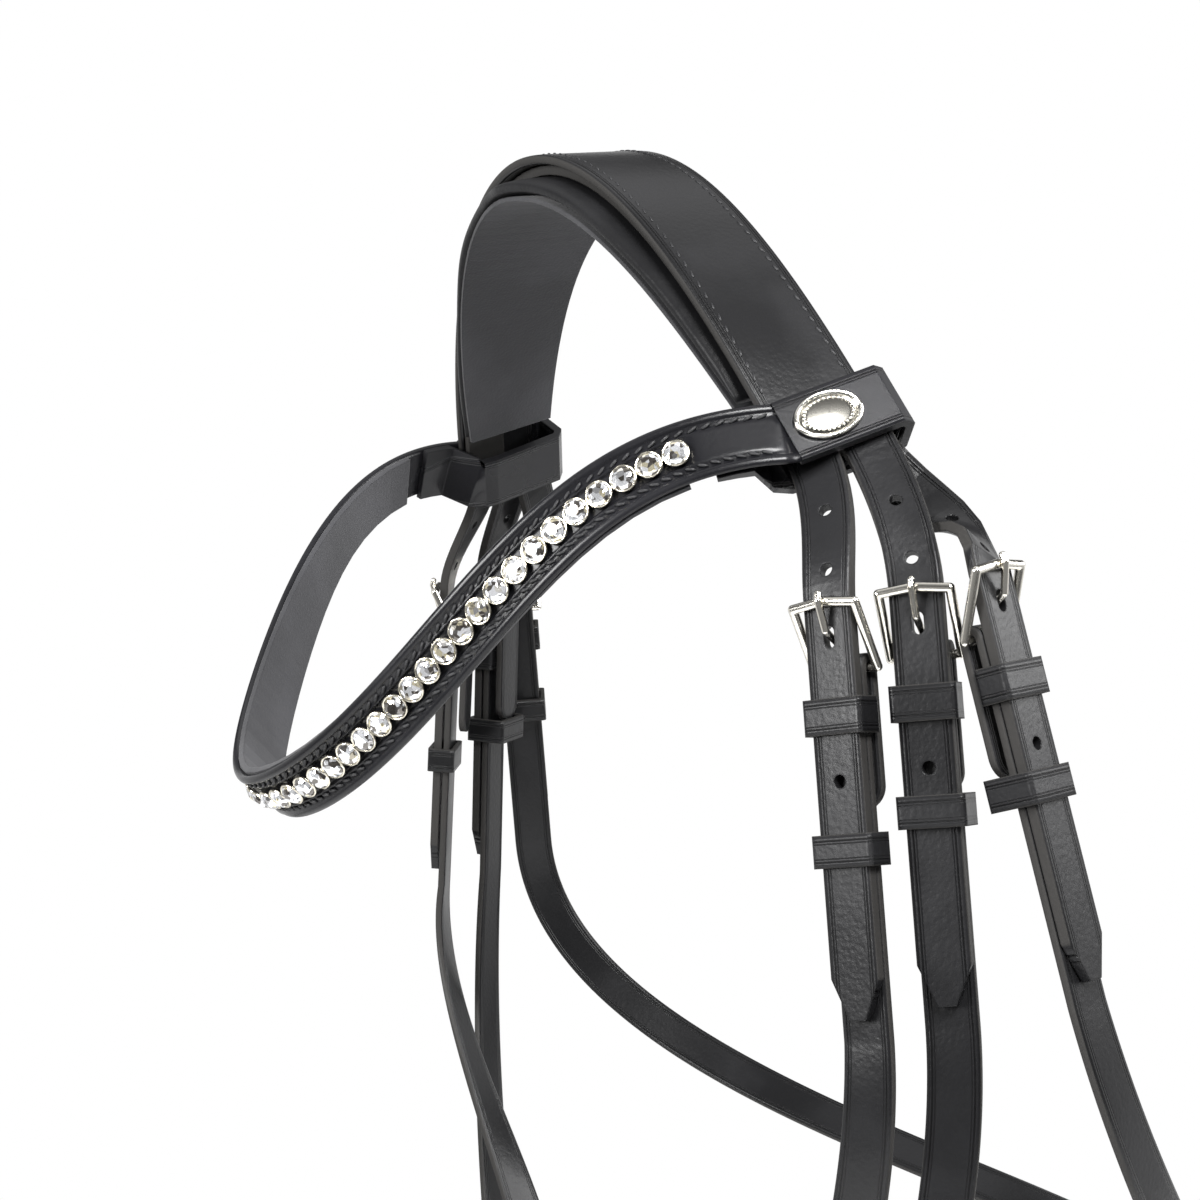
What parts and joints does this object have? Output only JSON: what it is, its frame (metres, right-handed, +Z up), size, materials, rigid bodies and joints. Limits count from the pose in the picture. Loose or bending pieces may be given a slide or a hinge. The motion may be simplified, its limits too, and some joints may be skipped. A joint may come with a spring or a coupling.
{
  "type": "snaffle bridle",
  "caption": "Leather snaffle bridle with padded headpiece, crystal browband, cavesson noseband, throatlatch and cheekpieces that loop round a bit's rings; buckles and runners move.",
  "frame": {"origin": "where the underside of the padded headpiece rests on the horse's poll, on the bridle's middle plane", "axes": "+X to the horse's left, -Y forwards over the face, +Z up"},
  "size_m": [0.3364, 0.2313, 0.4514],
  "materials": {
    "leather_patent": "glossy black leather with creased edges",
    "leather_grain": "black grained bridle leather, satin",
    "leather_padding": "soft black padded leather, matt",
    "lining": "soft dark grey lining leather, matt",
    "nickel": "polished nickel plate",
    "cup_metal": "polished silver claw cups",
    "crystal": "clear faceted crystal with a silvered back",
    "badge_metal": "polished nickel, plain oval"
  },
  "bodies": {
    "headpiece": {"headpiece_leather": "leather_grain", "noseband_headstrap": "leather_grain", "headpiece_padding": "leather_padding", "headpiece_lining": "lining", "browband_leather": "leather_patent", "browband_left_loop": "leather_patent", "browband_right_loop": "leather_patent", "browband_lining": "lining", "crystal_cups": "cup_metal", "crystals": "crystal", "badge_left": "badge_metal", "badge_right": "badge_metal"},
    "cheek_left": {"cheek_left_billet": "leather_grain", "cheek_left_keeper": "leather_grain", "cheek_left_strap": "leather_grain", "cheek_left_hook_stud": "nickel", "cheek_left_bit_keepers": "leather_grain"},
    "throatlatch": {"throatlatch_left_billet": "leather_grain", "throatlatch_left_keeper": "leather_grain", "throatlatch_right_billet": "leather_grain", "throatlatch_right_keeper": "leather_grain", "throatlatch_strap": "leather_grain"},
    "noseband": {"noseband_left_billet": "leather_grain", "noseband_left_keeper": "leather_grain", "noseband_left_hanger": "leather_grain", "noseband_right_billet": "leather_grain", "noseband_right_keeper": "leather_grain", "noseband_right_hanger": "leather_grain", "nose_leather": "leather_grain", "nose_padding": "leather_padding", "chin_buckle_strap": "leather_grain", "chin_strap": "leather_grain", "chin_keeper": "leather_grain"},
    "cheek_right": {"cheek_right_billet": "leather_grain", "cheek_right_keeper": "leather_grain", "cheek_right_strap": "leather_grain", "cheek_right_hook_stud": "nickel", "cheek_right_bit_keepers": "leather_grain"},
    "noseband_left_buckle_frame": {"noseband_left_buckle_frame": "nickel"},
    "noseband_left_buckle_tongue": {"noseband_left_buckle_tongue": "nickel"},
    "noseband_left_runner": {"noseband_left_runner": "leather_grain"},
    "noseband_right_buckle_frame": {"noseband_right_buckle_frame": "nickel"},
    "noseband_right_buckle_tongue": {"noseband_right_buckle_tongue": "nickel"},
    "noseband_right_runner": {"noseband_right_runner": "leather_grain"},
    "cheek_left_buckle_frame": {"cheek_left_buckle_frame": "nickel"},
    "cheek_left_buckle_tongue": {"cheek_left_buckle_tongue": "nickel"},
    "cheek_left_runner": {"cheek_left_runner": "leather_grain"},
    "cheek_right_buckle_frame": {"cheek_right_buckle_frame": "nickel"},
    "cheek_right_buckle_tongue": {"cheek_right_buckle_tongue": "nickel"},
    "cheek_right_runner": {"cheek_right_runner": "leather_grain"},
    "throatlatch_left_buckle_frame": {"throatlatch_left_buckle_frame": "nickel"},
    "throatlatch_left_buckle_tongue": {"throatlatch_left_buckle_tongue": "nickel"},
    "throatlatch_left_runner": {"throatlatch_left_runner": "leather_grain"},
    "throatlatch_right_buckle_frame": {"throatlatch_right_buckle_frame": "nickel"},
    "throatlatch_right_buckle_tongue": {"throatlatch_right_buckle_tongue": "nickel"},
    "throatlatch_right_runner": {"throatlatch_right_runner": "leather_grain"},
    "chin_buckle_frame": {"chin_buckle_frame": "nickel"},
    "chin_buckle_tongue": {"chin_buckle_tongue": "nickel"},
    "chin_runner": {"chin_runner": "leather_grain"}
  },
  "joints": [
    {"name": "cheek_left_swing", "type": "hinge", "parent": "headpiece", "child": "cheek_left", "pos_m": [0.10826, 0.01871, -0.06407], "axis": [0, -1, 0], "range_deg": [0, 1.8]},
    {"name": "cheek_right_swing", "type": "hinge", "parent": "headpiece", "child": "cheek_right", "pos_m": [-0.10826, 0.01871, -0.06407], "axis": [0, 1, 0], "range_deg": [0, 1.8]},
    {"name": "noseband_swing", "type": "hinge", "parent": "headpiece", "child": "noseband", "pos_m": [0, 0.00705, -0.06823], "axis": [-1, 0, 0], "range_deg": [0, 3]},
    {"name": "throatlatch_swing", "type": "hinge", "parent": "headpiece", "child": "throatlatch", "pos_m": [0, 0.02071, -0.06609], "axis": [1, 0, 0], "range_deg": [0, 4]},
    {"name": "noseband_left_buckle_hinge", "type": "hinge", "parent": "noseband", "child": "noseband_left_buckle_frame", "pos_m": [0.12694, 0.00146, -0.11954], "axis": [0.863, 0.4983, 0.0834], "range_deg": [0, 2]},
    {"name": "noseband_left_tongue_hinge", "type": "hinge", "parent": "noseband_left_buckle_frame", "child": "noseband_left_buckle_tongue", "pos_m": [0.12694, 0.00146, -0.11954], "axis": [0.863, 0.4983, 0.0834], "range_deg": [0, 3]},
    {"name": "noseband_left_runner_slide", "type": "slide", "parent": "noseband", "child": "noseband_left_runner", "axis": [0.1461, -0.088, -0.9854], "range_m": [-0.004, 0.008]},
    {"name": "noseband_right_buckle_hinge", "type": "hinge", "parent": "noseband", "child": "noseband_right_buckle_frame", "pos_m": [-0.12694, 0.00146, -0.11954], "axis": [0.863, -0.4983, -0.0834], "range_deg": [0, 2]},
    {"name": "noseband_right_tongue_hinge", "type": "hinge", "parent": "noseband_right_buckle_frame", "child": "noseband_right_buckle_tongue", "pos_m": [-0.12694, 0.00146, -0.11954], "axis": [0.863, -0.4983, -0.0834], "range_deg": [0, 3]},
    {"name": "noseband_right_runner_slide", "type": "slide", "parent": "noseband", "child": "noseband_right_runner", "axis": [-0.1461, -0.088, -0.9854], "range_m": [-0.004, 0.008]},
    {"name": "cheek_left_buckle_hinge", "type": "hinge", "parent": "cheek_left", "child": "cheek_left_buckle_frame", "pos_m": [0.13373, 0.01786, -0.11805], "axis": [0.6689, 0.7429, 0.0249], "range_deg": [0, 2]},
    {"name": "cheek_left_tongue_hinge", "type": "hinge", "parent": "cheek_left_buckle_frame", "child": "cheek_left_buckle_tongue", "pos_m": [0.13373, 0.01786, -0.11805], "axis": [0.6689, 0.7429, 0.0249], "range_deg": [0, 3]},
    {"name": "cheek_left_runner_slide", "type": "slide", "parent": "cheek_left", "child": "cheek_left_runner", "axis": [0.1202, -0.0751, -0.9899], "range_m": [-0.002, 0.008]},
    {"name": "cheek_right_buckle_hinge", "type": "hinge", "parent": "cheek_right", "child": "cheek_right_buckle_frame", "pos_m": [-0.13373, 0.01786, -0.11805], "axis": [0.6689, -0.7429, -0.0249], "range_deg": [0, 2]},
    {"name": "cheek_right_tongue_hinge", "type": "hinge", "parent": "cheek_right_buckle_frame", "child": "cheek_right_buckle_tongue", "pos_m": [-0.13373, 0.01786, -0.11805], "axis": [0.6689, -0.7429, -0.0249], "range_deg": [0, 3]},
    {"name": "cheek_right_runner_slide", "type": "slide", "parent": "cheek_right", "child": "cheek_right_runner", "axis": [-0.1202, -0.0751, -0.9899], "range_m": [-0.002, 0.008]},
    {"name": "throatlatch_left_buckle_hinge", "type": "hinge", "parent": "throatlatch", "child": "throatlatch_left_buckle_frame", "pos_m": [0.14529, 0.0266, -0.11473], "axis": [-0.3746, 0.9271, -0.0131], "range_deg": [0, 2]},
    {"name": "throatlatch_left_tongue_hinge", "type": "hinge", "parent": "throatlatch_left_buckle_frame", "child": "throatlatch_left_buckle_tongue", "pos_m": [0.14529, 0.0266, -0.11473], "axis": [-0.3746, 0.9271, -0.0131], "range_deg": [0, 3]},
    {"name": "throatlatch_left_runner_slide", "type": "slide", "parent": "throatlatch", "child": "throatlatch_left_runner", "axis": [0.1999, 0.067, -0.9775], "range_m": [-0.002, 0.008]},
    {"name": "throatlatch_right_buckle_hinge", "type": "hinge", "parent": "throatlatch", "child": "throatlatch_right_buckle_frame", "pos_m": [-0.14529, 0.0266, -0.11473], "axis": [-0.3746, -0.9271, 0.0131], "range_deg": [0, 2]},
    {"name": "throatlatch_right_tongue_hinge", "type": "hinge", "parent": "throatlatch_right_buckle_frame", "child": "throatlatch_right_buckle_tongue", "pos_m": [-0.14529, 0.0266, -0.11473], "axis": [-0.3746, -0.9271, 0.0131], "range_deg": [0, 3]},
    {"name": "throatlatch_right_runner_slide", "type": "slide", "parent": "throatlatch", "child": "throatlatch_right_runner", "axis": [-0.1999, 0.067, -0.9775], "range_m": [-0.002, 0.008]},
    {"name": "chin_buckle_hinge", "type": "hinge", "parent": "noseband", "child": "chin_buckle_frame", "pos_m": [0.07208, 0.05127, -0.322], "axis": [0, 0, -1], "range_deg": [0, 2]},
    {"name": "chin_tongue_hinge", "type": "hinge", "parent": "chin_buckle_frame", "child": "chin_buckle_tongue", "pos_m": [0.07208, 0.05127, -0.322], "axis": [0, 0, -1], "range_deg": [0, 3]},
    {"name": "chin_runner_slide", "type": "slide", "parent": "noseband", "child": "chin_runner", "axis": [0.2103, -0.9776, 0], "range_m": [-0.003, 0.003]}
  ]
}
